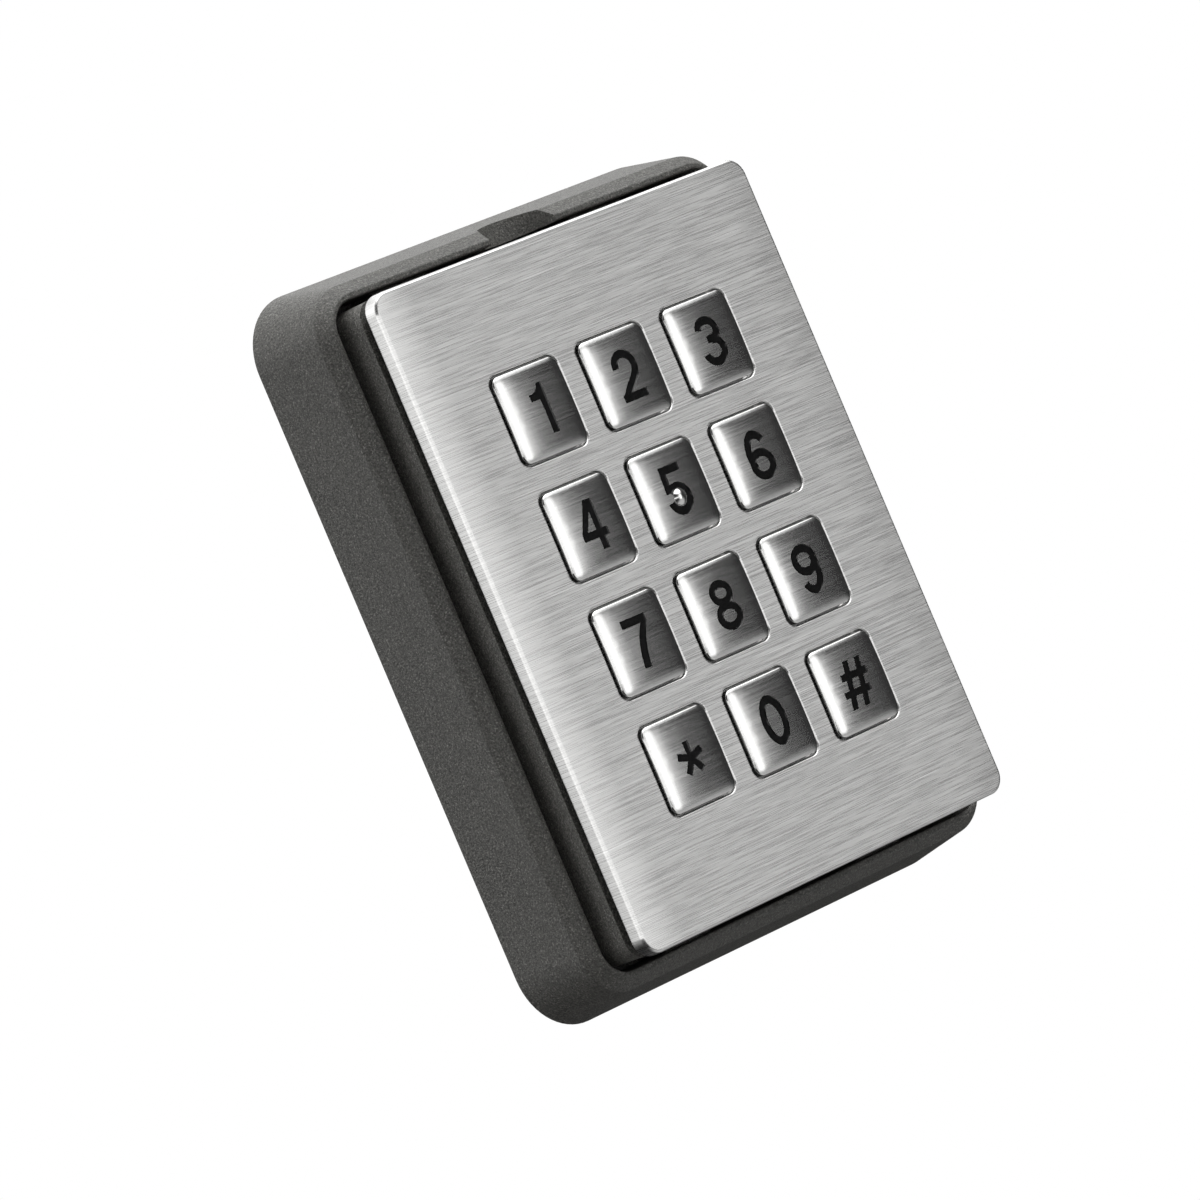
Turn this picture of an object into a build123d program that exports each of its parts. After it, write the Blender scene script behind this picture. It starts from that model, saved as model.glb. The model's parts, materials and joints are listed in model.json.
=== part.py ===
"""Wall-mounted keypad access reader, modelled as separate pieces in millimetres.

Row frame: +X to the right, +Z up, the front faces -Y. The origin is the centre of the
housing's back face, which lies against the wall. "Depth" below always means the distance
in front of the wall, so a point at depth d has y = -d.
"""
from build123d import *
import math
import os

# ---------------------------------------------------------------- driving dimensions (mm)
# Wall housing: a drafted tray whose rim surrounds the keypad module.
HOUSING_WIDTH = 96.0
HOUSING_HEIGHT = 119.0
HOUSING_CORNER = 10.2
WALL_DEPTH = 12.4          # where the drafted side ends and the chamfer starts
WALL_INSET = 2.2           # how far the draft brings the side in by then
RIM_DEPTH = 14.7           # front of the housing
RIM_INSET = 4.0            # inner edge of the chamfer
POCKET_INSET = 5.0         # opening that the module drops into
POCKET_CORNER = 4.6
FLOOR = 3.0                # thickness of the housing's floor
EDGE_ROUND = 0.35          # softened casting edges

# Keypad module: a cast body closed by a rear cover.
BODY_WIDTH = 82.6
BODY_HEIGHT = 106.4
BODY_CORNER = 3.0
BODY_BACK = 8.4
BODY_SHOULDER = 18.3       # the body is narrower in front of this, where it fills the faceplate
BODY_FRONT = 20.3
FRONT_WALL_BACK = 16.9
BODY_WALL = 3.2
REBATE_LEDGE = 1.8
COVER_THICKNESS = 1.6
COVER_GASKET = 0.6

# Faceplate: a shallow pressed tray of brushed stainless sheet.
FACE_WIDTH = 83.0
FACE_HEIGHT = 107.0
FACE_CORNER = 3.1
FACE_FRONT = 22.5
FACE_BACK = 19.7           # edge of the turned-down sides; a shadow gap is left behind it
SHEET = 1.2
FACE_EDGE_ROUND = 0.55
APERTURE_ROUND = 0.4

# Keys: three columns by four rows on the standard 19.05 mm (3/4 inch) key pitch.
KEY_PITCH = 19.05
KEYS_RIGHT = 0.2           # the key field sits this far off the faceplate's middle
KEYS_UP = -0.3
KEY_SIZE = 14.1
KEY_CORNER = 1.5
KEY_GAP = 0.3
KEY_FLANGE = 16.2
KEY_FLANGE_FRONT = 21.2
KEY_UNDERSIDE = 20.15
KEY_WINDOW = 17.0
CROWN_FRONT = 23.5         # highest point of a key, 1 mm proud of the faceplate
CROWN_DROP = 0.22          # slight dome from the middle of a key to the middle of a side
EDGE_DROP = 0.28           # further drop, most of it in the last millimetre
EDGE_POWER = 10
CROWN_ROUND = 0.25
CROWN_GRID = 31            # points each way that the cushion surface is drawn through
STEM_RADIUS = 3.5
STEM_END = 18.4
LEGEND_FLOOR = 23.15       # bottom of the engraving
LEGEND_FRONT = 23.3        # the filling stays a little below the crown
PIP_RADIUS = 1.25
PIP_HEIGHT = 0.5
PIP_DROP = 1.15            # the locating pip sits this far below the middle of key 5

# Keymat and circuit board.
BOARD_WIDTH = 63.0
BOARD_HEIGHT = 86.0
BOARD_BACK = 14.0
BOARD_FRONT = 15.6
MAT_FRONT = 16.8
DOME_CEILING = 17.1        # inside top of a dome, just clear of a fully pressed key
DOME_BASE_RADIUS = 6.0
BOARD_SCREW_X = 28.5
BOARD_SCREW_Y = 40.0

# Locking screw: tilted, so that it pulls the module back and down at once.
LOCK_Y = 52.5              # centre of the head's outer face, up from the middle
LOCK_DEPTH = 12.2
LOCK_TILT = 60.0           # angle between the screw and the wall's normal
LOCK_HEAD_RADIUS = 3.7
LOCK_HEAD = 2.4
LOCK_SEAT = 2.0            # thickness of the seat under the head
LOCK_GAP = 0.6
LOCK_SHANK_RADIUS = 2.0
LOCK_LENGTH = 10.0
INSERT_RADIUS = 2.8
INSERT_LENGTH = 6.5
BOSS_HALF_WIDTH = 5.0
BOSS_RADIUS = 4.4
NOTCH_RADIUS = 7.4         # finger-wide access notch in the housing's top wall
NOTCH_DEPTH = 16.0

# Fixings.
FACE_STUD_X = 34.8
FACE_STUD_Y = 46.5
STUD_RADIUS = 1.5
COVER_SCREWS = [(36.2, 0), (-36.2, 0), (24, 47.7), (-24, 47.7), (24, -47.7), (-24, -47.7)]
COVER_BOSS_RADIUS = 2.8
FLUSH_BOX_SPACING = 60.0   # two screws into a flush wall box
CORNER_SPACING_X = 66.0    # four screws straight into the wall
CORNER_SPACING_Z = 88.0
WALL_SCREW_RADIUS = 2.25
WALL_SCREW_HEAD_RADIUS = 3.9
CABLE_Y = 30.0
CABLE_RADIUS = 3.0
FIT = 0.05                 # radial clearance of screws and inserts in their holes


# ---------------------------------------------------------------- drawing helpers
def level(depth):
    """Plane parallel to the wall at a depth; its x is right and its y is up."""
    return Plane.XZ.offset(depth)


def slab(outline, back, front):
    """Solid between two depths with the given outline."""
    return extrude(level(back) * outline, front - back, dir=(0, -1, 0))


def disc(radius, x, y, back, front):
    return slab(Pos(x, y) * Circle(radius), back, front)


def block(x0, x1, y0, y1, back, front):
    outline = Pos((x0 + x1) / 2, (y0 + y1) / 2) * Rectangle(x1 - x0, y1 - y0)
    return slab(outline, back, front)


def mirrored_corners(x, y):
    return [(sx * x, sy * y) for sx in (1, -1) for sy in (1, -1)]


def group(solids):
    """Several separate pieces of one kind, kept as one node."""
    return Compound(children=list(solids))


def edges_at(shape, depth, tolerance=0.01):
    """Edges that lie wholly at one depth."""
    def flat(edge):
        box = edge.bounding_box()
        return abs(box.min.Y + depth) < tolerance and abs(box.max.Y + depth) < tolerance
    return shape.edges().filter_by(flat)


def key_positions():
    """Yields (legend, x, y) from the top left key to the bottom right one."""
    rows = [["1", "2", "3"], ["4", "5", "6"], ["7", "8", "9"], ["star", "0", "hash"]]
    for row, legends in enumerate(rows):
        for column, legend in enumerate(legends):
            yield legend, KEYS_RIGHT + (column - 1) * KEY_PITCH, KEYS_UP + (1.5 - row) * KEY_PITCH


def cut_windows(shape, size, corner, back, front):
    for _, x, y in key_positions():
        shape -= slab(Pos(x, y) * RectangleRounded(size, size, corner), back, front)
    return shape


# ---------------------------------------------------------------- locking screw's own frame
def along_lock(distance):
    """Point on the screw's axis, measured inwards from the head's outer face."""
    tilt = math.radians(LOCK_TILT)
    y = LOCK_Y - distance * math.sin(tilt)
    depth = LOCK_DEPTH - distance * math.cos(tilt)
    return Vector(0, -depth, y)


def lock_cylinder(radius, start, end):
    """Cylinder on the screw's axis between two distances from the head's outer face."""
    direction = along_lock(1) - along_lock(0)
    plane = Plane(origin=along_lock(start), x_dir=(1, 0, 0), z_dir=direction)
    return extrude(plane * Circle(radius), end - start)


def boss_profile(half_width, margin):
    """Wedge on the housing floor that carries the insert; margin grows it all round."""
    tilt = math.radians(LOCK_TILT)
    inward = Vector(-math.sin(tilt), -math.cos(tilt))
    across = Vector(math.cos(tilt), -math.sin(tilt))
    start = LOCK_HEAD + LOCK_SEAT + LOCK_GAP - margin
    face = Vector(LOCK_Y, LOCK_DEPTH) + inward * start
    reach = BOSS_RADIUS + margin
    top = face + across * reach
    front = face - across * reach
    low = front + inward * (INSERT_LENGTH + 2.0 + 2 * margin)
    root = FLOOR - 0.5
    profile = Polygon((top.X, root), (top.X, top.Y), (front.X, front.Y), (low.X, low.Y),
                      (low.X, root), align=None)
    # The profile is drawn with x = up and y = depth, on a plane that faces +X.
    side = Plane(origin=(-half_width, 0, 0), x_dir=(0, 0, 1), z_dir=(1, 0, 0))
    return extrude(side * profile, 2 * half_width)


# ---------------------------------------------------------------- housing
def back_housing():
    outline = RectangleRounded(HOUSING_WIDTH, HOUSING_HEIGHT, HOUSING_CORNER)
    waist = RectangleRounded(HOUSING_WIDTH - 2 * WALL_INSET, HOUSING_HEIGHT - 2 * WALL_INSET,
                             HOUSING_CORNER - WALL_INSET)
    rim = RectangleRounded(HOUSING_WIDTH - 2 * RIM_INSET, HOUSING_HEIGHT - 2 * RIM_INSET,
                           HOUSING_CORNER - RIM_INSET)
    lower = loft([level(0) * outline, level(WALL_DEPTH) * waist], ruled=True)
    upper = loft([level(WALL_DEPTH) * waist, level(RIM_DEPTH) * rim], ruled=True)
    shell = lower + upper
    pocket_outline = RectangleRounded(HOUSING_WIDTH - 2 * POCKET_INSET,
                                      HOUSING_HEIGHT - 2 * POCKET_INSET, POCKET_CORNER)
    shell -= slab(pocket_outline, FLOOR, RIM_DEPTH + 1)
    soft = edges_at(shell, WALL_DEPTH) + edges_at(shell, RIM_DEPTH)
    shell = fillet(soft, EDGE_ROUND)
    shell += rest_ledges()
    shell += boss_profile(BOSS_HALF_WIDTH, 0)
    shell -= lock_cylinder(INSERT_RADIUS + FIT, 0, LOCK_HEAD + LOCK_SEAT + LOCK_GAP + INSERT_LENGTH)
    shell -= lock_cylinder(LOCK_SHANK_RADIUS + 0.3, 0, LOCK_HEAD + LOCK_LENGTH + 0.8)
    shell -= access_notch()
    shell -= hook_slots()
    shell -= gasket_ring()
    shell -= wall_screw_holes()
    shell -= disc(CABLE_RADIUS + 3.5, 0, CABLE_Y, -1, FLOOR + 1)
    shell -= disc(CABLE_RADIUS + 5.0, 0, CABLE_Y, -1, 1.2)
    return shell


def rest_ledges():
    """Four ribs on the pocket wall that the module's back edge rests on."""
    half_x = HOUSING_WIDTH / 2 - POCKET_INSET + 0.5
    half_y = HOUSING_HEIGHT / 2 - POCKET_INSET + 0.5
    depth = BODY_BACK - 0.1
    ledges = []
    for side in (1, -1):
        inner, outer = sorted((side * (half_x - 3.5), side * half_x))
        ledges.append(block(inner, outer, 14, 30, FLOOR - 0.5, depth))
        ledges.append(block(inner, outer, -30, -14, FLOOR - 0.5, depth))
        ledges.append(block(side * 22 - 6, side * 22 + 6, half_y - 3.5, half_y, FLOOR - 0.5, depth))
    return ledges


def access_notch():
    """Half-round notch in the top wall, for the driver that turns the locking screw."""
    plane = Plane(origin=(0, -NOTCH_DEPTH, LOCK_Y), x_dir=(1, 0, 0), z_dir=(0, 0, 1))
    return extrude(plane * Circle(NOTCH_RADIUS), HOUSING_HEIGHT)


def hook_slots():
    bottom = -(HOUSING_HEIGHT / 2 - POCKET_INSET)
    return [block(x - 5.6, x + 5.6, bottom - 2.1, bottom + 0.5, BODY_BACK - 0.3, BODY_BACK + 2.5)
            for x in (-22, 22)]


def gasket_ring():
    """Groove, and the foam ring that fills it flush with the back face."""
    outer = RectangleRounded(HOUSING_WIDTH - 4, HOUSING_HEIGHT - 4, HOUSING_CORNER - 2)
    inner = RectangleRounded(HOUSING_WIDTH - 9, HOUSING_HEIGHT - 9, HOUSING_CORNER - 4.5)
    return slab(outer - inner, 0, 1.6)


def wall_screw_holes():
    places = mirrored_corners(CORNER_SPACING_X / 2, CORNER_SPACING_Z / 2)
    places += [(FLUSH_BOX_SPACING / 2, 0), (-FLUSH_BOX_SPACING / 2, 0)]
    sink = WALL_SCREW_HEAD_RADIUS - WALL_SCREW_RADIUS
    holes = []
    for x, y in places:
        holes.append(disc(WALL_SCREW_RADIUS, x, y, -1, FLOOR + 1))
        wide = level(FLOOR) * Pos(x, y) * Circle(WALL_SCREW_HEAD_RADIUS)
        narrow = level(FLOOR - sink) * Pos(x, y) * Circle(WALL_SCREW_RADIUS)
        holes.append(loft([narrow, wide]))
    return holes


def cable_grommet():
    """Rubber grommet that snaps over the edge of the cable hole."""
    waist = CABLE_RADIUS + 3.5
    body = disc(waist, 0, CABLE_Y, 1.2, FLOOR)
    body += disc(waist + 1.4, 0, CABLE_Y, 0.2, 1.2)
    body += disc(waist + 2.0, 0, CABLE_Y, FLOOR, FLOOR + 1.2)
    body -= disc(CABLE_RADIUS, 0, CABLE_Y, -1, FLOOR + 2)
    return body


def locking_screw():
    """Pan-head machine screw with a six-lobed, pin-in-socket security drive."""
    screw = lock_cylinder(LOCK_HEAD_RADIUS, 0, LOCK_HEAD)
    screw = fillet(screw.edges().group_by(Axis.Z)[-1], 0.4)
    screw += lock_cylinder(LOCK_SHANK_RADIUS, LOCK_HEAD - 0.1, LOCK_HEAD + LOCK_LENGTH)
    direction = along_lock(1) - along_lock(0)
    plane = Plane(origin=along_lock(0), x_dir=(1, 0, 0), z_dir=direction)
    socket = Circle(1.35) + [Rot(0, 0, 60 * i) * Pos(1.35, 0) * Circle(0.42) for i in range(6)]
    socket -= Circle(0.5)
    return screw - extrude(plane * socket, 1.6)


def lock_insert():
    start = LOCK_HEAD + LOCK_SEAT + LOCK_GAP
    sleeve = lock_cylinder(INSERT_RADIUS, start, start + INSERT_LENGTH)
    return sleeve - lock_cylinder(LOCK_SHANK_RADIUS + FIT, start - 1, start + INSERT_LENGTH + 1)


# ---------------------------------------------------------------- keypad module
def lock_cutout(half_width, bottom):
    """Strip at the top centre of the module that the lock block takes up."""
    top = BODY_HEIGHT / 2 + 1
    return Pos(0, (bottom + top) / 2) * Rectangle(2 * half_width, top - bottom)


def cavity_outline():
    outline = RectangleRounded(BODY_WIDTH - 2 * BODY_WALL, BODY_HEIGHT - 2 * BODY_WALL, 2.0)
    return outline - lock_cutout(8.2, 36.2)


def cover_outline(gap=0.0):
    """Outline of the rebate at the module's back, or of a cover that is smaller by a gap."""
    side = 2 * (BODY_WALL - REBATE_LEDGE + gap)
    outline = RectangleRounded(BODY_WIDTH - side, BODY_HEIGHT - side, 2.2)
    return outline - lock_cutout(8.2 - REBATE_LEDGE + gap, 36.2 + REBATE_LEDGE - gap)


def tray_filling():
    """Outline that fits inside the faceplate's turned-down sides."""
    return RectangleRounded(FACE_WIDTH - 2 * SHEET - 0.4, FACE_HEIGHT - 2 * SHEET - 0.4, 1.7)


def module_body():
    body = slab(RectangleRounded(BODY_WIDTH, BODY_HEIGHT, BODY_CORNER), BODY_BACK, BODY_SHOULDER)
    body += slab(tray_filling(), BODY_SHOULDER - 0.1, BODY_FRONT)
    ledge = BODY_BACK + COVER_THICKNESS + COVER_GASKET
    body -= slab(cover_outline(), BODY_BACK - 1, ledge)
    body -= slab(cavity_outline(), BODY_BACK - 1, FRONT_WALL_BACK)
    body = cut_windows(body, KEY_WINDOW, 1.6, FRONT_WALL_BACK - 1, BODY_FRONT + 1)
    for x, y in COVER_SCREWS:
        body += disc(COVER_BOSS_RADIUS, x, y, ledge, FRONT_WALL_BACK + 0.5)
        body -= disc(1.25 + FIT, x, y, ledge - 1, ledge + 5.5)
    for x, y in mirrored_corners(BOARD_SCREW_X, BOARD_SCREW_Y):
        body += disc(2.5, x, y, BOARD_FRONT, FRONT_WALL_BACK + 0.5)
        body -= disc(1.25 + FIT, x, y, BOARD_FRONT - 1, BODY_FRONT - 0.8)
    for x, y in mirrored_corners(FACE_STUD_X, FACE_STUD_Y):
        body -= disc(STUD_RADIUS + 0.2, x, y, FRONT_WALL_BACK - 1, BODY_FRONT + 1)
    body -= boss_profile(BOSS_HALF_WIDTH + 0.6, 0.6)
    body -= lock_cylinder(LOCK_HEAD_RADIUS + 0.5, -12, LOCK_HEAD)
    body -= lock_cylinder(LOCK_SHANK_RADIUS + 0.3, 0, LOCK_HEAD + LOCK_LENGTH)
    bottom = -BODY_HEIGHT / 2
    for x in (-22, 22):
        body += block(x - 5, x + 5, bottom - 2.6, bottom + 1, BODY_BACK, BODY_BACK + 2)
    return body


def rear_cover():
    cover = slab(cover_outline(0.15), BODY_BACK, BODY_BACK + COVER_THICKNESS)
    for x, y in COVER_SCREWS:
        cover -= disc(1.4, x, y, BODY_BACK - 1, BODY_BACK + COVER_THICKNESS + 1)
    cover -= block(-15, 15, 5.2, 14.2, BODY_BACK - 1, BODY_BACK + COVER_THICKNESS + 1)
    cover -= disc(3.0 + FIT, -18, -30, BODY_BACK - 1, BODY_BACK + COVER_THICKNESS + 1)
    return cover


def cover_gasket():
    outer = cover_outline(0.15)
    ring = outer - offset(outer, -(REBATE_LEDGE - 0.3), kind=Kind.INTERSECTION)
    back = BODY_BACK + COVER_THICKNESS
    return slab(ring, back, back + COVER_GASKET)


def cover_screws():
    """Six low-head screws that hold the rear cover on."""
    def screw(x, y):
        head = disc(2.3, x, y, BODY_BACK - 1.3, BODY_BACK)
        head -= block(x - 1.8, x + 1.8, y - 0.3, y + 0.3, BODY_BACK - 1.4, BODY_BACK - 0.7)
        return head + disc(1.25, x, y, BODY_BACK - 0.1, BODY_BACK + 7)
    return group([screw(x, y) for x, y in COVER_SCREWS])


def tamper_window():
    return disc(3.0, -18, -30, BODY_BACK, BODY_BACK + COVER_THICKNESS + 0.4)


# ---------------------------------------------------------------- faceplate
def faceplate():
    outline = RectangleRounded(FACE_WIDTH, FACE_HEIGHT, FACE_CORNER)
    inside = RectangleRounded(FACE_WIDTH - 2 * SHEET, FACE_HEIGHT - 2 * SHEET, FACE_CORNER - SHEET)
    tray = slab(outline, FACE_BACK, FACE_FRONT)
    tray = fillet(edges_at(tray, FACE_FRONT), FACE_EDGE_ROUND)
    tray = fillet(edges_at(tray, FACE_BACK), 0.4)
    tray -= slab(inside, FACE_BACK - 1, FACE_FRONT - SHEET)
    aperture = KEY_SIZE + 2 * KEY_GAP
    tray = cut_windows(tray, aperture, KEY_CORNER + KEY_GAP, FACE_BACK, FACE_FRONT + 1)
    inner_edges = [e for e in edges_at(tray, FACE_FRONT)
                   if abs(e.center().X) < FACE_WIDTH / 2 - 5 and abs(e.center().Z) < FACE_HEIGHT / 2 - 5]
    return fillet(inner_edges, APERTURE_ROUND)


def front_gasket():
    """Foam sheet in the faceplate's tray, which seals it on the module."""
    sheet = slab(tray_filling(), BODY_FRONT, FACE_FRONT - SHEET)
    for x, y in mirrored_corners(FACE_STUD_X, FACE_STUD_Y):
        sheet -= disc(STUD_RADIUS + 1.2, x, y, BODY_FRONT - 1, FACE_FRONT)
    return cut_windows(sheet, KEY_WINDOW, 1.6, BODY_FRONT - 1, FACE_FRONT)


def faceplate_studs():
    """Weld studs on the back of the faceplate."""
    return group([disc(STUD_RADIUS + 0.7, x, y, FACE_FRONT - SHEET - 0.7, FACE_FRONT - SHEET)
                  + disc(STUD_RADIUS, x, y, FRONT_WALL_BACK - 4, FACE_FRONT - SHEET)
                  for x, y in mirrored_corners(FACE_STUD_X, FACE_STUD_Y)])


def stud_washers():
    return group([disc(3.1, x, y, FRONT_WALL_BACK - 0.5, FRONT_WALL_BACK)
                  - disc(STUD_RADIUS + 0.1, x, y, FRONT_WALL_BACK - 1, FRONT_WALL_BACK + 1)
                  for x, y in mirrored_corners(FACE_STUD_X, FACE_STUD_Y)])


def stud_nuts():
    front = FRONT_WALL_BACK - 0.5
    nuts = []
    for x, y in mirrored_corners(FACE_STUD_X, FACE_STUD_Y):
        nut = slab(Pos(x, y) * RegularPolygon(2.75, 6, major_radius=False), front - 2.4, front)
        nuts.append(nut - disc(STUD_RADIUS + FIT, x, y, front - 3, front + 1))
    return group(nuts)


# ---------------------------------------------------------------- keys and legends
STROKE = 1.35              # legend stroke width
TOP = 4.02                 # half the legend height


def bar(x0, x1, y0, y1):
    return Pos((x0 + x1) / 2, (y0 + y1) / 2) * Rectangle(x1 - x0, y1 - y0)


def ring(x, y, radius_x, radius_y, stroke=STROKE):
    """Oval stroke given by its outer radii."""
    return Pos(x, y) * (Ellipse(radius_x, radius_y) - Ellipse(radius_x - stroke, radius_y - stroke))


def hook(x, y, radius_x, radius_y, start, end):
    """Part of an oval stroke, centred on the oval, between two angles in degrees."""
    return trace(EllipticalCenterArc((x, y), radius_x, radius_y, start, arc_size=end - start), STROKE)


def glyph_1():
    flag = Line((0.23, 1.49), (-1.63, 1.49)) + Line((-1.63, 1.49), (-1.63, 2.66))
    flag += ThreePointArc((-1.63, 2.66), (-0.05, 3.0), (0.6, TOP))
    flag += Line((0.6, TOP), (0.9, TOP)) + Line((0.9, TOP), (0.9, 1.49)) + Line((0.9, 1.49), (0.23, 1.49))
    return make_face(flag) + bar(0.23, 1.63, -TOP, 1.6) + bar(0.6, 1.63, 1.5, TOP)


def glyph_2():
    over = ThreePointArc((-1.95, 1.3), (0.0, TOP - STROKE / 2), (1.98, 1.45))
    down = Spline((1.98, 1.45), (0.75, -0.85), (-1.95, -3.4), tangents=[(0, -1), (-0.75, -1)])
    return trace(over + down, STROKE) + bar(-2.62, 2.62, -TOP, -2.75)


def glyph_3():
    upper = hook(0, 1.72, 1.85, TOP - STROKE / 2 - 1.72, -90, 168)
    lower = hook(0, -1.5, 2.02, TOP - STROKE / 2 - 1.5, -170, 90)
    return upper + lower + bar(-0.75, 0.1, -0.32, 0.92)


def glyph_4():
    outer = Polygon((-2.75, -0.95), (-2.75, -2.1), (0.35, -2.1), (0.35, -TOP), (1.75, -TOP),
                    (1.75, -2.1), (2.75, -2.1), (2.75, -0.84), (1.75, -0.84), (1.75, TOP),
                    (0.0, TOP), align=None)
    return outer - Polygon((-1.45, -0.84), (0.35, -0.84), (0.35, 2.1), align=None)


def glyph_5():
    stem = Polygon((-2.1, TOP), (-2.45, -0.25), (-1.1, -0.25), (-0.85, TOP), align=None)
    bowl = hook(-0.05, -1.4, 2.02, TOP - STROKE / 2 - 1.4, -172, 142)
    return stem + bar(-2.05, 2.3, TOP - 1.28, TOP) + bowl


def glyph_6():
    back = hook(0.0, 0.0, 2.04, TOP - STROKE / 2, 38, 215)
    return back + ring(0, -1.5, 2.72, TOP - 1.5)


def glyph_7():
    leg = Line((2.7, TOP - 1.3), (1.2, TOP - 1.3))
    leg += ThreePointArc((1.2, TOP - 1.3), (-0.75, -0.6), (-1.4, -TOP))
    leg += Line((-1.4, -TOP), (0.05, -TOP)) + ThreePointArc((0.05, -TOP), (0.75, -0.7), (2.7, TOP - 1.3))
    return make_face(leg) + bar(-2.7, 2.7, TOP - 1.32, TOP)


def glyph_8():
    return ring(0, 1.93, 2.42, TOP - 1.93, 1.25) + ring(0, -1.75, 2.72, TOP - 1.75, 1.3)


def glyph_star():
    arm = bar(-0.6, 0.6, 0, 2.75)
    return arm + [Rot(0, 0, 72 * i) * arm for i in range(1, 5)]


def glyph_hash():
    slant = math.tan(math.radians(13))
    half = 3.8
    upright = Polygon((-0.6 - half * slant, -half), (0.6 - half * slant, -half),
                      (0.6 + half * slant, half), (-0.6 + half * slant, half), align=None)
    bars = [bar(-3.0 + y * slant, 3.0 + y * slant, y - 0.56, y + 0.56) for y in (-1.3, 1.4)]
    return (Pos(-1.35, 0) * upright) + (Pos(1.35, 0) * upright) + bars


GLYPHS = {
    "0": lambda: ring(0, 0, 2.7, TOP),
    "1": glyph_1, "2": glyph_2, "3": glyph_3, "4": glyph_4, "5": glyph_5,
    "6": glyph_6, "7": glyph_7, "8": glyph_8, "9": lambda: Rot(0, 0, 180) * glyph_6(),
    "star": glyph_star, "hash": glyph_hash,
}


def engraving(legend):
    """Outline of a key's legend; the 5 leaves a round column standing for its pip."""
    outline = GLYPHS[legend]()
    if legend == "5":
        outline -= Pos(0, -PIP_DROP) * Circle(PIP_RADIUS + 0.15)
    return outline


def pip():
    """Raised locating dot on key 5: the cap of a ball, set a little into the crown."""
    ball = (PIP_RADIUS ** 2 + PIP_HEIGHT ** 2) / (2 * PIP_HEIGHT)
    dome = Pos(0, ball - CROWN_FRONT - PIP_HEIGHT, -PIP_DROP) * Sphere(ball)
    return dome & disc(ball, 0, -PIP_DROP, CROWN_FRONT - 0.12, CROWN_FRONT + 1)


def crown():
    """Cushion-shaped key front: domed in the middle and falling away smoothly to its edges."""
    half = KEY_SIZE / 2
    steps = [-1.05 + 2.1 * i / (CROWN_GRID - 1) for i in range(CROWN_GRID)]

    def depth(u, v):
        return (CROWN_FRONT - CROWN_DROP * (u ** 2 + v ** 2)
                - EDGE_DROP * (u ** EDGE_POWER + v ** EDGE_POWER))

    points = [[Vector(u * half, -depth(u, v), v * half) for u in steps] for v in steps]
    top = Face.make_surface_from_array_of_points(points, tol=0.002)
    under = extrude(top, amount=6, dir=(0, 1, 0))
    outline = RectangleRounded(KEY_SIZE, KEY_SIZE, KEY_CORNER)
    blank = slab(outline, KEY_UNDERSIDE, CROWN_FRONT + 1) & under
    front = blank.faces().sort_by(Axis.Y)[0]
    return fillet(front.edges(), CROWN_ROUND)


def key_cap(legend, x, y, blank):
    cap = blank + slab(RectangleRounded(KEY_FLANGE, KEY_FLANGE, 1.6), KEY_UNDERSIDE, KEY_FLANGE_FRONT)
    cap += disc(STEM_RADIUS, 0, 0, STEM_END, KEY_UNDERSIDE)
    cap -= slab(engraving(legend), LEGEND_FLOOR, CROWN_FRONT + 1)
    if legend == "5":
        cap += pip()
    return Pos(x, 0, y) * cap


def key_legend(legend, x, y):
    return Pos(x, 0, y) * slab(engraving(legend), LEGEND_FLOOR, LEGEND_FRONT)


# ---------------------------------------------------------------- keymat and electronics
def mat_outline(width, height):
    return RectangleRounded(width, height, 1.5) - lock_cutout(8.8, 35.6)


def dome_ring(depth_pairs, x, y):
    """Solid of revolution about a key's centre, as loft slices of (radius, depth)."""
    return [loft([level(d0) * Pos(x, y) * Circle(r0), level(d1) * Pos(x, y) * Circle(r1)])
            for (r0, d0), (r1, d1) in zip(depth_pairs, depth_pairs[1:])]


def keymat():
    """Silicone sheet with twelve hollow domes that push the keys back out."""
    mat = slab(mat_outline(60.5, 84), BOARD_FRONT, MAT_FRONT)
    for x, y in mirrored_corners(BOARD_SCREW_X, BOARD_SCREW_Y):
        mat -= disc(2.8, x, y, BOARD_FRONT - 1, MAT_FRONT + 1)
    for _, x, y in key_positions():
        mat += dome_ring([(DOME_BASE_RADIUS, MAT_FRONT), (STEM_RADIUS, STEM_END)], x, y)
        mat -= dome_ring([(5.0, BOARD_FRONT), (2.4, DOME_CEILING)], x, y)
    return mat


def contact_pills():
    """Carbon pills under the domes; each closes its pad when the key is pressed."""
    return group([disc(2.0, x, y, DOME_CEILING - 0.5, DOME_CEILING) for _, x, y in key_positions()])


def circuit_board():
    board = slab(mat_outline(BOARD_WIDTH, BOARD_HEIGHT), BOARD_BACK, BOARD_FRONT)
    for x, y in mirrored_corners(BOARD_SCREW_X, BOARD_SCREW_Y):
        board -= disc(1.4, x, y, BOARD_BACK - 1, BOARD_FRONT + 1)
    return board


def contact_pads():
    """Split gold pads on the board, one pair under each key."""
    pads = []
    for _, x, y in key_positions():
        pad = disc(2.3, x, y, BOARD_FRONT, BOARD_FRONT + 0.08)
        pads.append(pad - block(x - 0.2, x + 0.2, y - 3, y + 3, BOARD_FRONT - 1, BOARD_FRONT + 1))
    return group([s for pad in pads for s in pad.solids()])


def board_screws():
    def screw(x, y):
        return disc(2.2, x, y, BOARD_BACK - 1.5, BOARD_BACK) + disc(1.25, x, y, BOARD_BACK - 0.1, 19.2)
    return group([screw(x, y) for x, y in mirrored_corners(BOARD_SCREW_X, BOARD_SCREW_Y)])


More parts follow.
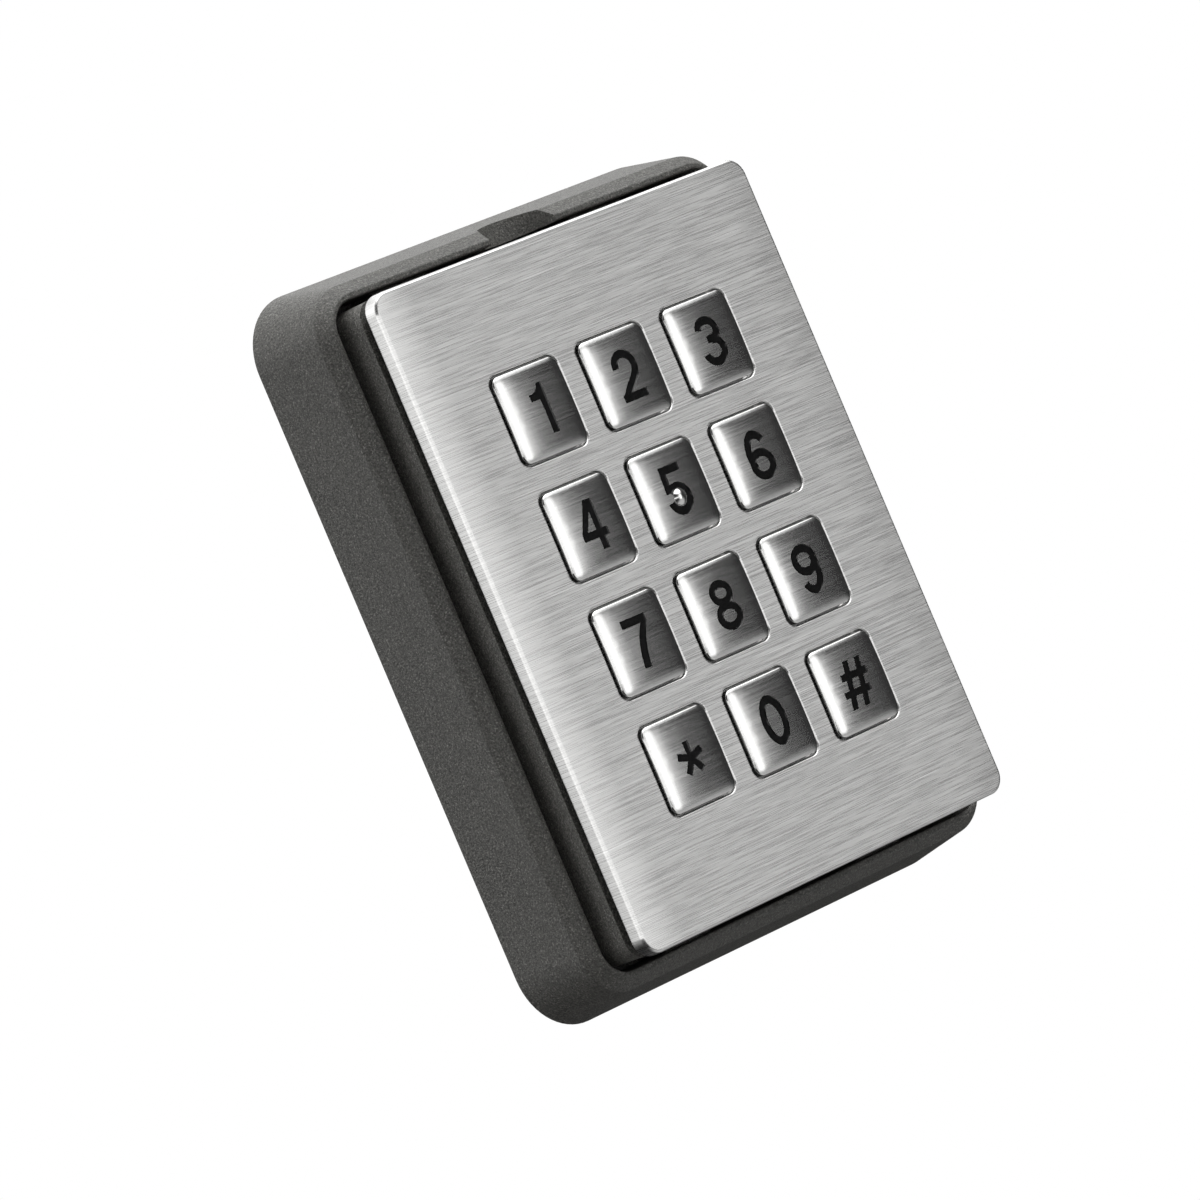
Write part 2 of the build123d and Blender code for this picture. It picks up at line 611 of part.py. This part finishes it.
def chip_with_legs(x, y, size, legs, pitch):
    """Flat chip body with gull-wing legs on two sides, all one soldered part."""
    chip = block(x - size / 2, x + size / 2, y - size / 2, y + size / 2, BOARD_BACK - 1.5, BOARD_BACK - 0.1)
    for i in range(legs):
        along = y + (i - (legs - 1) / 2) * pitch
        chip += block(x - size / 2 - 1, x + size / 2 + 1, along - 0.2, along + 0.2,
                      BOARD_BACK - 0.6, BOARD_BACK)
    return chip


def microcontroller():
    return chip_with_legs(-4, -10, 10, 11, 0.8)


def driver_chips():
    """Bus transceiver and voltage regulator."""
    return group([chip_with_legs(12, 24, 5, 4, 1.27), chip_with_legs(-14, 26, 5, 4, 1.27)])


def small_parts():
    """Capacitors and resistors on the back of the board."""
    places = [(8, -2), (8, -6), (8, -10), (8, -14), (-14, -4), (-14, -8), (-14, -12),
              (20, 10), (20, 14), (20, 18), (-22, 12), (-22, 16), (4, 24), (-6, 24)]
    return group([block(x - 1, x + 1, y - 0.6, y + 0.6, BOARD_BACK - 0.9, BOARD_BACK)
                  for x, y in places])


def piezo_buzzer():
    can = disc(6.0, 16, -30, BOARD_BACK - 3.0, BOARD_BACK)
    return can - disc(1.0, 16, -30, BOARD_BACK - 4, BOARD_BACK - 1.5)


def tamper_sensor():
    """Reflective optical sensor that looks at the housing floor through its window."""
    return block(-20, -16, -31.5, -28.5, BOARD_BACK - 1.7, BOARD_BACK)


TERMINALS = 8
TERMINAL_PITCH = 3.5
TERMINAL_BACK = 5.6


def terminal_positions():
    return [(i - (TERMINALS - 1) / 2) * TERMINAL_PITCH for i in range(TERMINALS)]


def terminal_block():
    """Eight-way screw terminal that reaches through the rear cover into the wiring space."""
    half = TERMINALS * TERMINAL_PITCH / 2 + 0.3
    body = block(-half, half, 6, 13.4, TERMINAL_BACK, BOARD_BACK)
    for x in terminal_positions():
        body -= disc(1.3, x, 9, TERMINAL_BACK - 1, TERMINAL_BACK + 3.6)
        entry = Plane(origin=(x, -7.3, 13.5), x_dir=(1, 0, 0), z_dir=(0, 0, -1))
        body -= extrude(entry * Circle(1.15), 3.0)
    return body


def terminal_screws():
    def screw(x):
        head = disc(1.25, x, 9, TERMINAL_BACK + 0.6, TERMINAL_BACK + 3.6)
        return head - block(x - 1.1, x + 1.1, 8.75, 9.25, TERMINAL_BACK, TERMINAL_BACK + 1.2)
    return group([screw(x) for x in terminal_positions()])


def service_header():
    """Six-pin programming header."""
    body = block(18, 25.6, -12, -7, BOARD_BACK - 1.2, BOARD_BACK)
    for column in range(3):
        for row in range(2):
            x, y = 19.3 + 2.54 * column, -10.8 + 2.54 * row
            body += block(x - 0.3, x + 0.3, y - 0.3, y + 0.3, BOARD_BACK - 3.0, BOARD_BACK - 1.1)
    return body


# ---------------------------------------------------------------- all the pieces
PIECES = {
    "back_housing": back_housing, "wall_gasket": gasket_ring, "cable_grommet": cable_grommet,
    "locking_screw": locking_screw, "lock_insert": lock_insert,
    "module_body": module_body, "rear_cover": rear_cover, "cover_gasket": cover_gasket,
    "cover_screws": cover_screws, "tamper_window": tamper_window,
    "faceplate": faceplate, "front_gasket": front_gasket, "faceplate_studs": faceplate_studs,
    "stud_washers": stud_washers, "stud_nuts": stud_nuts,
    "keymat": keymat, "contact_pills": contact_pills, "circuit_board": circuit_board,
    "contact_pads": contact_pads, "board_screws": board_screws,
    "microcontroller": microcontroller, "driver_chips": driver_chips,
    "small_parts": small_parts, "piezo_buzzer": piezo_buzzer, "tamper_sensor": tamper_sensor,
    "terminal_block": terminal_block, "terminal_screws": terminal_screws,
    "service_header": service_header,
}

os.makedirs("parts", exist_ok=True)
for name, make in PIECES.items():
    export_step(make(), f"parts/{name}.step")
blank = crown()
for legend, x, y in key_positions():
    export_step(key_cap(legend, x, y, blank), f"parts/key_{legend}.step")
    export_step(key_legend(legend, x, y), f"parts/legend_{legend}.step")
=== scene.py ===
"""Looks for the keypad access reader: camera, light, stage and the finish of every piece."""
import json
import math

import bmesh
import bpy
from mathutils import Matrix, Vector


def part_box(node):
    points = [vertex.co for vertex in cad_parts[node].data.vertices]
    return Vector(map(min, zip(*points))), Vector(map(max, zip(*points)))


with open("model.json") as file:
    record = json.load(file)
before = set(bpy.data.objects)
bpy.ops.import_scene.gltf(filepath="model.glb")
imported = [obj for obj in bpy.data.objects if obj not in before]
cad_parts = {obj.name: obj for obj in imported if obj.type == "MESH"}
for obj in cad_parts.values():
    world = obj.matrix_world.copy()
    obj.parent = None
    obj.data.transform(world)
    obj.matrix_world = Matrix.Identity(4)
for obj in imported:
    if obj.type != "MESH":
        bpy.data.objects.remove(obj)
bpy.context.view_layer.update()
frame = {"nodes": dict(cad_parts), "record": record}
scene = bpy.context.scene
scene.view_settings.view_transform = "Standard"

plate_low, plate_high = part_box("faceplate")
housing_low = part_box("back_housing")[0]
FACE_CENTRE = (plate_low + plate_high) / 2
FACE_CENTRE.y = plate_low.y


# ---------------------------------------------------------------- camera
YAW = 42.78                # the camera stands this far to the left of the plate's normal
PITCH = 0.34
ROLL = 23.01               # the object leans this far to the left in the picture
DISTANCE = 1.23528
OFF_CENTRE = (0.01457, 0.00801)   # the plate's centre in the picture, right of and above the middle
LENS = 243.33
SENSOR = 36.0


def make_camera():
    """Long lens at the viewing angle; rows of the turn are right, up and back."""
    turn = (Matrix.Rotation(math.radians(ROLL), 3, "Z")
            @ Matrix.Rotation(math.radians(PITCH), 3, "X")
            @ Matrix.Rotation(math.radians(YAW), 3, "Y"))
    # The turn is written for x right, y up, z out of the plate: in the row frame that is X, Z, -Y.
    to_row = Matrix(((1, 0, 0), (0, 0, -1), (0, 1, 0)))
    axes = to_row @ turn.transposed()
    place = FACE_CENTRE + axes @ Vector((-OFF_CENTRE[0], -OFF_CENTRE[1], DISTANCE))
    data = bpy.data.cameras.new("camera")
    data.lens = LENS
    data.sensor_width = SENSOR
    data.clip_end = 100
    camera = bpy.data.objects.new("camera", data)
    camera.matrix_world = Matrix.Translation(place) @ axes.to_4x4()
    scene.collection.objects.link(camera)
    scene.camera = camera


# ---------------------------------------------------------------- node helpers
class Graph:
    """Small wrapper that adds nodes to a tree and links them by name."""

    def __init__(self, tree):
        self.tree = tree
        tree.nodes.clear()

    def node(self, kind, inputs=None, **settings):
        node = self.tree.nodes.new(kind)
        for key, value in settings.items():
            setattr(node, key, value)
        for key, value in (inputs or {}).items():
            self.feed(node.inputs[key], value)
        return node

    def feed(self, socket, value):
        if isinstance(value, bpy.types.NodeSocket):
            self.tree.links.new(value, socket)
        else:
            socket.default_value = value

    def math(self, operation, a, b=0.0):
        return self.node("ShaderNodeMath", {0: a, 1: b}, operation=operation).outputs[0]

    def dot(self, vector, direction):
        node = self.node("ShaderNodeVectorMath", {0: vector, 1: direction}, operation="DOT_PRODUCT")
        return node.outputs["Value"]

    def span(self, value, low, high, to_low=0.0, to_high=1.0):
        """Value mapped smoothly from one range to another, held at the ends."""
        node = self.node("ShaderNodeMapRange", {0: value, 1: low, 2: high, 3: to_low, 4: to_high},
                         interpolation_type="SMOOTHSTEP")
        return node.outputs[0]

    def stretch(self, vector, scale):
        node = self.node("ShaderNodeVectorMath", {0: vector, 1: scale}, operation="MULTIPLY")
        return node.outputs[0]

    def noise(self, vector, scale, detail=4.0, roughness=0.55):
        node = self.node("ShaderNodeTexNoise", {"Vector": vector, "Scale": scale, "Detail": detail,
                                                "Roughness": roughness})
        return node.outputs[0]

    def mix(self, factor, a, b):
        node = self.node("ShaderNodeMix", {0: factor, 6: a, 7: b}, data_type="RGBA")
        return node.outputs[2]


def grey(value, warmth=0.0):
    """Grey as a colour; warmth lowers blue by that share and lifts red by a little."""
    return (value * (1 + warmth / 4), value, value * (1 - warmth), 1.0)


def material(name, paint):
    """New material whose surface is built by paint(graph, principled shader)."""
    made = bpy.data.materials.new(name)
    made.use_nodes = True
    graph = Graph(made.node_tree)
    shader = graph.node("ShaderNodeBsdfPrincipled")
    out = graph.node("ShaderNodeOutputMaterial")
    graph.feed(out.inputs["Surface"], shader.outputs[0])
    paint(graph, shader)
    return made


def place_of(graph):
    return graph.node("ShaderNodeTexCoord").outputs["Object"]


# ---------------------------------------------------------------- light and stage
ROUND_PATCHES = [
    # direction, inner and outer edge in degrees from it, strength
    ((0.0, 1.0, 0.9), 40, 65, 1.9),          # white background behind the wall
    ((0.35, -0.5, 1.0), 12, 42, 6.4),        # overhead softbox, a little in front
    ((-1.0, 0.9, 0.2), 12, 40, 0.6),         # spill from the left, behind the plate
    ((-1.0, 0.5, 0.7), 10, 40, 1.3),         # high window at the left, behind the plate
    ((0.45, -0.5, -1.0), 15, 50, 1.0),       # pale floor
]
STRIPS = [
    # azimuth from and to, soft edge at each end, half height, soft edge above, strength;
    # azimuth 0 is straight out of the plate and grows to the right
    (-120, -75, 12, 10, 5, 7, 2.5),          # long low panel that the keys and edges mirror
    (-75, 6, 10, 10, 3.0, 5.0, 2.5),         # its thinner middle
    (8, 36.6, 9, 2.2, 14, 12, 2.7),          # its taller right end, mirrored by the key faces
]
LIGHT_BASE = 0.05


def make_world():
    """Soft studio surroundings: broad bright areas behind and above, a low panel at the left."""
    world = bpy.data.worlds.new("studio")
    scene.world = world
    world.use_nodes = True
    graph = Graph(world.node_tree)
    direction = graph.node("ShaderNodeTexCoord").outputs["Generated"]
    total = LIGHT_BASE
    for aim, inner, outer, strength in ROUND_PATCHES:
        along = graph.dot(direction, Vector(aim).normalized())
        patch = graph.span(along, math.cos(math.radians(outer)), math.cos(math.radians(inner)),
                           0.0, strength)
        total = graph.math("ADD", patch, total)
    right = graph.dot(direction, (1, 0, 0))
    out = graph.dot(direction, (0, -1, 0))
    azimuth = graph.math("ARCTAN2", right, out)
    height = graph.math("ABSOLUTE", graph.math("ARCSINE", graph.dot(direction, (0, 0, 1))))
    for start, end, soft_start, soft_end, tall, soft, strength in STRIPS:
        rise = graph.span(azimuth, math.radians(start - soft_start),
                          math.radians(start + soft_start))
        fall = graph.span(azimuth, math.radians(end - soft_end), math.radians(end + soft_end),
                          1.0, 0.0)
        level = graph.span(height, math.radians(tall), math.radians(tall + soft), strength, 0.0)
        patch = graph.math("MULTIPLY", graph.math("MULTIPLY", rise, fall), level)
        total = graph.math("ADD", patch, total)
    background = graph.node("ShaderNodeBackground", {"Color": grey(1.0), "Strength": total})
    graph.feed(graph.node("ShaderNodeOutputWorld").inputs["Surface"], background.outputs[0])


def camera_only(piece):
    """The stage shows as a plain pale ground and gives no light or reflection of its own."""
    piece.visible_diffuse = False
    piece.visible_glossy = False
    piece.visible_transmission = False
    piece.visible_shadow = False


FLOOR_DROP = 0.35          # the reader hangs on its wall mount this far above the floor
STAGE_RADIUS = 8.0


def make_stage():
    """Pale floor that runs out into a plain backdrop, as one turned surface."""
    made = bmesh.new()
    floor_z = housing_low.z - FLOOR_DROP
    profile = [(0.0, 0.0), (STAGE_RADIUS * 0.75, 0.0)]
    steps = 16
    for i in range(1, steps + 1):
        angle = math.pi / 2 * i / steps
        profile.append((STAGE_RADIUS * (0.75 + 0.25 * math.sin(angle)),
                        STAGE_RADIUS * 0.25 * (1 - math.cos(angle))))
    profile += [(STAGE_RADIUS, STAGE_RADIUS), (0.0, STAGE_RADIUS * 1.5)]
    sides = 96
    rings = []
    for radius, height in profile:
        ring = []
        for k in range(sides):
            turn = 2 * math.pi * k / sides
            ring.append(made.verts.new((radius * math.cos(turn), radius * math.sin(turn),
                                        floor_z + height)))
        rings.append(ring)
    for low, high in zip(rings, rings[1:]):
        for k in range(sides):
            corners = (low[k], low[(k + 1) % sides], high[(k + 1) % sides], high[k])
            made.faces.new(corners)
    bmesh.ops.remove_doubles(made, verts=made.verts, dist=1e-5)
    mesh = bpy.data.meshes.new("stage")
    made.to_mesh(mesh)
    made.free()
    stage = bpy.data.objects.new("stage", mesh)
    scene.collection.objects.link(stage)
    paper = bpy.data.materials.new("stage_paper")
    paper.use_nodes = True
    graph = Graph(paper.node_tree)
    glow = graph.node("ShaderNodeEmission", {"Color": grey(1.0), "Strength": 1.0})
    graph.feed(graph.node("ShaderNodeOutputMaterial").inputs["Surface"], glow.outputs[0])
    mesh.materials.append(paper)
    camera_only(stage)


# ---------------------------------------------------------------- materials
# Noise scales, in cells per metre; the brushing has one for each axis, so it runs along X.
PIMPLE_SCALE = 2700
SPECK_SCALE = 3900
CLOUD_SCALE = 60
PIMPLE_HEIGHT = 0.0002
FINE_SCRATCHES = (150, 150, 9500)
LONG_SCRATCHES = (45, 45, 5200)
RARE_SCRATCHES = (55, 55, 7600)


def coated(base, warmth, grain):
    """Fine-texture powder coat: pimpled, dull, with pale and dark specks."""
    def paint(graph, shader):
        place = place_of(graph)
        pimples = graph.noise(place, PIMPLE_SCALE, 3.0, 0.65)
        specks = graph.noise(place, SPECK_SCALE, 1.0, 0.5)
        cloud = graph.noise(place, CLOUD_SCALE, 2.0)
        pale = graph.span(specks, 0.60, 0.72)
        dark = graph.span(specks, 0.47, 0.33)
        tone = graph.mix(graph.span(pimples, 0.3, 0.7), grey(base * 0.6, warmth),
                         grey(base * 1.45, warmth))
        for share, shade in ((graph.math("MULTIPLY", pale, 0.6), 4.0),
                             (graph.math("MULTIPLY", dark, 0.8), 0.3),
                             (graph.span(cloud, 0.3, 0.7, 0.0, 0.12), 1.5)):
            tone = graph.mix(share, tone, grey(base * shade, warmth))
        graph.feed(shader.inputs["Base Color"], tone)
        graph.feed(shader.inputs["Roughness"], graph.span(pimples, 0.3, 0.7, 0.62, 0.48))
        shader.inputs["Specular IOR Level"].default_value = 0.3
        bump = graph.node("ShaderNodeBump", {"Strength": grain, "Distance": PIMPLE_HEIGHT,
                                             "Height": pimples})
        graph.feed(shader.inputs["Normal"], bump.outputs[0])
    return paint


ROLL_OFF = 0.008           # the sheet leans back over this distance from its two long edges
ROLL_OFF_LEFT = 0.10       # slope that it reaches at the left edge
ROLL_OFF_RIGHT = 0.03      # and at the right edge


def roll_off(graph, place):
    """Normal of a sheet that leans back slightly towards its left and right edges."""
    across = graph.node("ShaderNodeSeparateXYZ", {0: place}).outputs[0]
    height = 0.0
    for past, slope in (
            (graph.math("SUBTRACT", plate_low.x + ROLL_OFF, across), ROLL_OFF_LEFT),
            (graph.math("SUBTRACT", across, plate_high.x - ROLL_OFF), ROLL_OFF_RIGHT)):
        past = graph.math("MAXIMUM", past, 0.0)
        drop = graph.math("MULTIPLY", graph.math("MULTIPLY", past, past), slope / ROLL_OFF / 2)
        height = graph.math("SUBTRACT", height, drop)
    bump = graph.node("ShaderNodeBump", {"Strength": 1.0, "Distance": 1.0, "Height": height})
    return bump.outputs[0]


def brushed(base, roughness, streak, anisotropy=0.75, scratches=0.5, bump_um=12, rolled=False):
    """Metal brushed along X: fine scratches of mixed length, and light that spreads across them."""
    def paint(graph, shader):
        place = place_of(graph)
        fine = graph.noise(graph.stretch(place, FINE_SCRATCHES), 1.0, 2.0, 0.6)
        mid = graph.noise(graph.stretch(place, LONG_SCRATCHES), 1.0, 2.0, 0.6)
        rare = graph.noise(graph.stretch(place, RARE_SCRATCHES), 1.0, 1.0, 0.5)
        lines = graph.math("ADD", graph.math("MULTIPLY", fine, 0.55),
                           graph.math("MULTIPLY", mid, 0.45))
        tone = graph.mix(graph.span(lines, 0.36, 0.64), grey(base * (1 - streak), 0.012),
                         grey(base * (1 + streak), 0.012))
        bright = graph.span(rare, 0.66, 0.78, 0.0, scratches)
        tone = graph.mix(bright, tone, grey(min(0.95, base * 1.9), 0.01))
        graph.feed(shader.inputs["Base Color"], tone)
        shader.inputs["Metallic"].default_value = 1.0
        shader.inputs["Anisotropic"].default_value = anisotropy
        graph.feed(shader.inputs["Roughness"],
                   graph.span(lines, 0.3, 0.7, roughness * 0.85, roughness * 1.2))
        tangent = graph.node("ShaderNodeTangent", direction_type="RADIAL", axis="Z")
        graph.feed(shader.inputs["Tangent"], tangent.outputs[0])
        bump = graph.node("ShaderNodeBump", {"Strength": 0.25, "Distance": bump_um / 1e6,
                                             "Height": lines})
        if rolled:
            graph.feed(bump.inputs["Normal"], roll_off(graph, place))
        graph.feed(shader.inputs["Normal"], bump.outputs[0])
    return paint


def plain(colour, roughness, metallic=0.0, mottle=0.1, scale=900, bump_mm=0.01):
    """Moulded or turned finish with a slight mottle."""
    def paint(graph, shader):
        place = place_of(graph)
        cloud = graph.noise(place, scale, 3.0)
        dark = tuple(c * (1 - mottle) for c in colour) + (1.0,)
        pale = tuple(min(1.0, c * (1 + mottle)) for c in colour) + (1.0,)
        graph.feed(shader.inputs["Base Color"], graph.mix(graph.span(cloud, 0.3, 0.7), dark, pale))
        graph.feed(shader.inputs["Roughness"],
                   graph.span(cloud, 0.3, 0.7, roughness * 0.9, min(1.0, roughness * 1.1)))
        shader.inputs["Metallic"].default_value = metallic
        bump = graph.node("ShaderNodeBump", {"Strength": 0.3, "Distance": bump_mm / 1000,
                                             "Height": cloud})
        graph.feed(shader.inputs["Normal"], bump.outputs[0])
    return paint


def clear(graph, shader):
    shader.inputs["Base Color"].default_value = (0.85, 0.88, 0.88, 1.0)
    shader.inputs["Transmission Weight"].default_value = 1.0
    shader.inputs["Roughness"].default_value = 0.08


FINISHES = {
    "housing_coat": coated(0.046, 0.08, 0.9),
    "module_coat": coated(0.059, 0.08, 0.9),
    "brushed_plate": brushed(0.40, 0.28, 0.20, anisotropy=0.9, rolled=True),
    "key_metal": brushed(0.43, 0.18, 0.05, anisotropy=0.3, scratches=0.12, bump_um=3),
    "legend_fill": plain((0.002, 0.002, 0.002), 0.14),
    "screw_steel": plain((0.42, 0.42, 0.41), 0.32, metallic=1.0),
    "brass": plain((0.78, 0.58, 0.27), 0.3, metallic=1.0),
    "cover_steel": plain((0.5, 0.5, 0.5), 0.4, metallic=1.0),
    "foam_rubber": plain((0.02, 0.02, 0.02), 0.9, bump_mm=0.1),
    "black_rubber": plain((0.015, 0.015, 0.015), 0.6),
    "silicone": plain((0.5, 0.51, 0.5), 0.45),
    "carbon_rubber": plain((0.01, 0.01, 0.01), 0.7),
    "board_laminate": plain((0.02, 0.12, 0.05), 0.35),
    "gold": plain((0.85, 0.62, 0.22), 0.3, metallic=1.0),
    "chip_plastic": plain((0.015, 0.015, 0.016), 0.5),
    "ceramic": plain((0.4, 0.32, 0.22), 0.5),
    "terminal_plastic": plain((0.03, 0.17, 0.07), 0.35),
    "clear_window": clear,
}


def finish_nodes():
    made = {slot: material(slot, paint) for slot, paint in FINISHES.items()}
    for subpart in frame["record"]["subparts"]:
        data = frame["nodes"][subpart["node"]].data
        data.materials.clear()
        data.materials.append(made[subpart["material_slot"]])


make_camera()
make_world()
make_stage()
finish_nodes()
